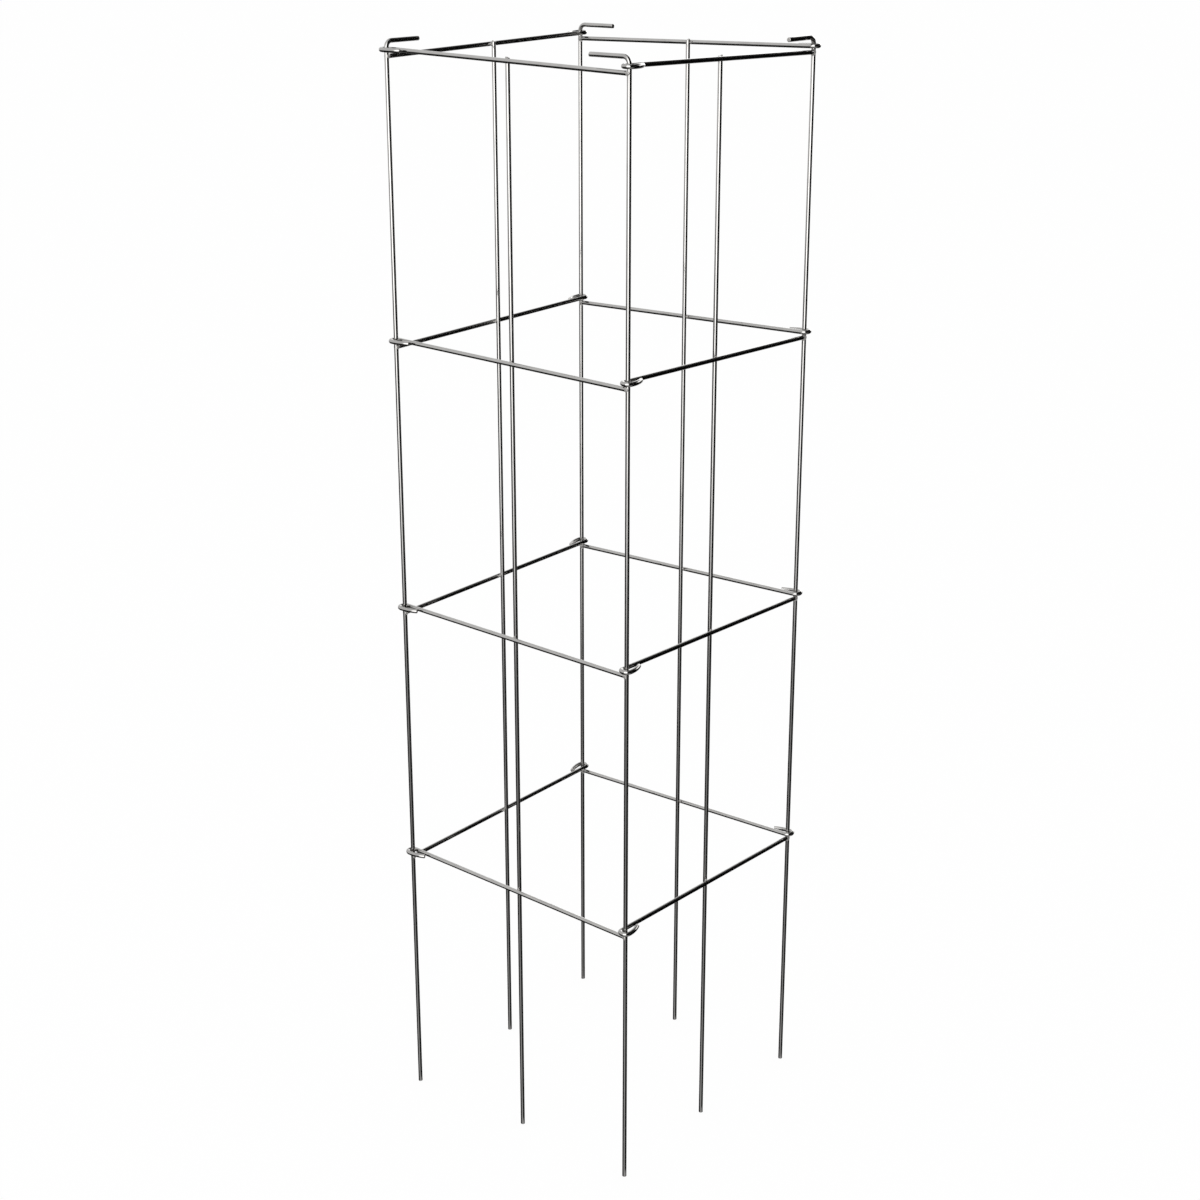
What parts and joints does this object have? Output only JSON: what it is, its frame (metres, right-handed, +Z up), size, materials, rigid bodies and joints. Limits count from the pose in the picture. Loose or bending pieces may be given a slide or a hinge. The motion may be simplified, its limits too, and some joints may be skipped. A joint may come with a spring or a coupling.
{
  "type": "tomato cage",
  "caption": "Tall square cage of welded zinc-plated wire panels, looped round each other's corner posts so that it folds flat; staked in soil round a tomato plant to hold it up.",
  "frame": {"origin": "on the ground plane in the middle of the open square, level with the stake tips", "axes": "+Z up along the posts; +X runs along the front panel from its loops to its own post, +Y from the front panel to the back panel"},
  "size_m": [0.333, 0.333, 1.2375],
  "materials": {
    "zinc_wire": "bright zinc-plated drawn wire, glossy",
    "weld_metal": "zinc-plated weld metal, satin"
  },
  "bodies": {
    "front_panel": {"front_corner_post": "zinc_wire", "front_middle_stake": "zinc_wire", "front_bottom_rung": "zinc_wire", "front_lower_rung": "zinc_wire", "front_upper_rung": "zinc_wire", "front_top_rung": "zinc_wire", "front_welds": "weld_metal"},
    "right_panel": {"right_corner_post": "zinc_wire", "right_middle_stake": "zinc_wire", "right_bottom_rung": "zinc_wire", "right_lower_rung": "zinc_wire", "right_upper_rung": "zinc_wire", "right_top_rung": "zinc_wire", "right_welds": "weld_metal"},
    "back_panel": {"back_corner_post": "zinc_wire", "back_middle_stake": "zinc_wire", "back_bottom_rung": "zinc_wire", "back_lower_rung": "zinc_wire", "back_upper_rung": "zinc_wire", "back_top_rung": "zinc_wire", "back_welds": "weld_metal"},
    "left_panel": {"left_corner_post": "zinc_wire", "left_middle_stake": "zinc_wire", "left_bottom_rung": "zinc_wire", "left_lower_rung": "zinc_wire", "left_upper_rung": "zinc_wire", "left_top_rung": "zinc_wire", "left_welds": "weld_metal"}
  },
  "joints": [
    {"name": "left_fold", "type": "hinge", "parent": "front_panel", "child": "left_panel", "pos_m": [-0.1585, -0.1585, 0.6], "axis": [0, 0, 1], "range_deg": [-80, 80]},
    {"name": "right_fold", "type": "hinge", "parent": "front_panel", "child": "right_panel", "pos_m": [0.1585, -0.1585, 0.6], "axis": [0, 0, 1], "range_deg": [-80, 80]},
    {"name": "back_fold", "type": "hinge", "parent": "left_panel", "child": "back_panel", "pos_m": [-0.1585, 0.1585, 0.6], "axis": [0, 0, 1], "range_deg": [-80, 80]}
  ],
  "couplings": [
    {"joint": "right_fold", "follows": "left_fold", "ratio": 1},
    {"joint": "back_fold", "follows": "left_fold", "ratio": -1}
  ]
}
